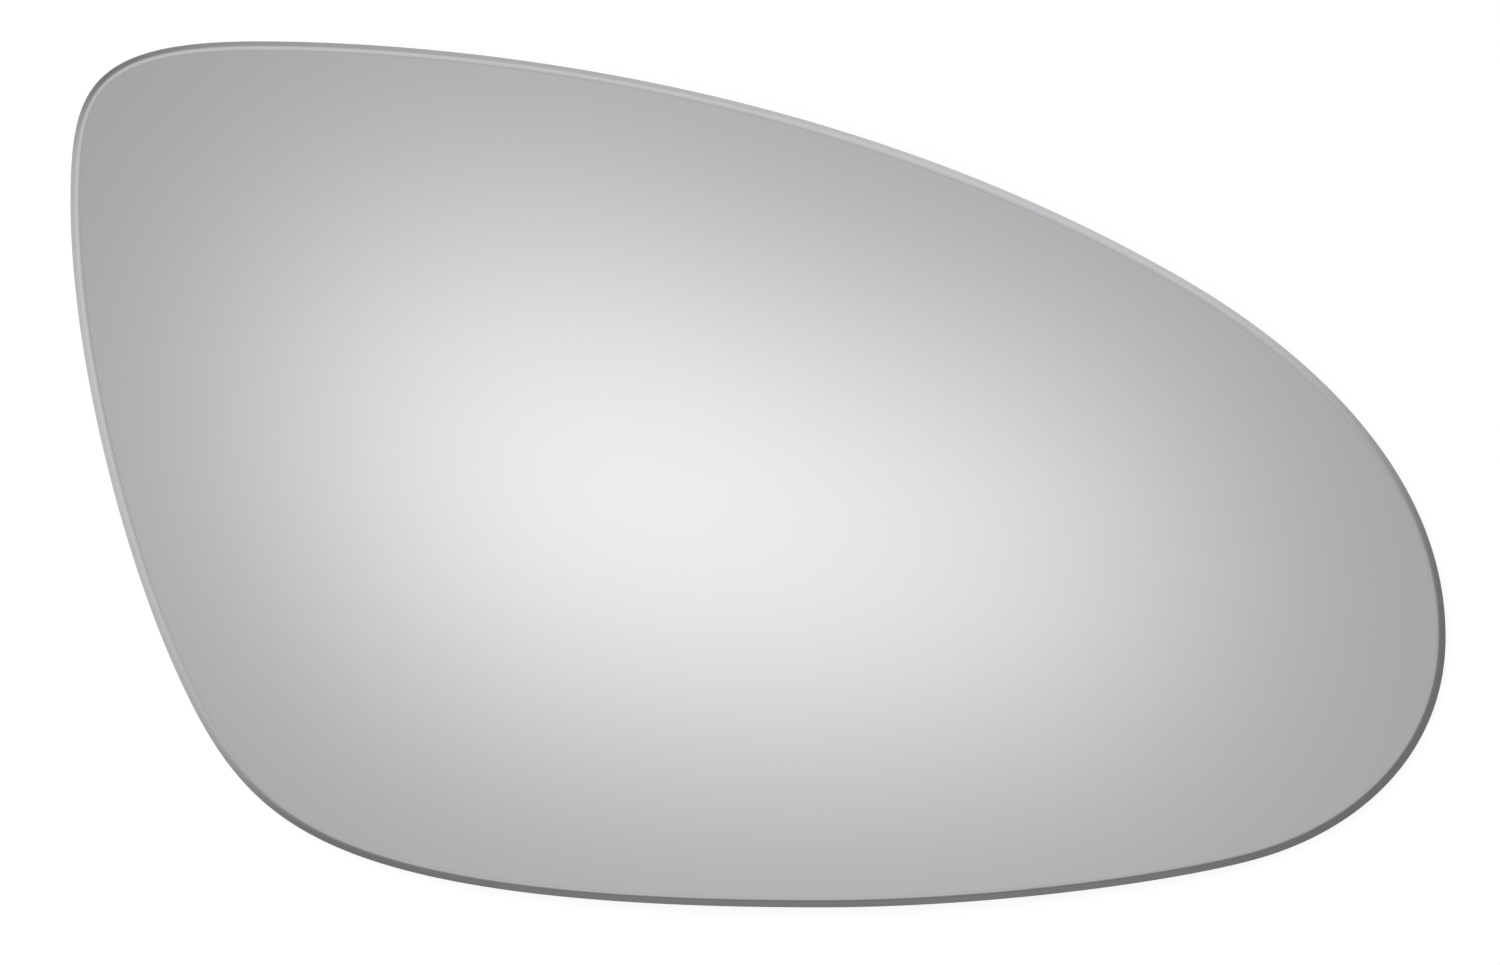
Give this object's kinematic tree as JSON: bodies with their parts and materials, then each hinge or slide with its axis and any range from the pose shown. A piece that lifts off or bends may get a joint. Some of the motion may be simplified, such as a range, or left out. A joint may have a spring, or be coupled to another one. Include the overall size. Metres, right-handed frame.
{
  "type": "car door mirror glass",
  "caption": "Convex glass pane with a mirror coating and a narrow ground bevel, in a rounded teardrop outline, glued into a car's door mirror to show the view behind.",
  "frame": {"origin": "middle of the outline's box, on the surface that the pane rests on with its mirror face up", "axes": "+X along the length towards the rounded tip, +Y across the pane towards the upper edge as mounted, +Z out of the mirror face"},
  "size_m": [0.18, 0.1134, 0.0055],
  "materials": {
    "mirror_glass": "chromium mirror film on bent float glass, with a satin ground bevel and a grey lacquered back"
  },
  "bodies": {
    "root": {"mirror_glass": "mirror_glass"}
  },
  "joints": []
}
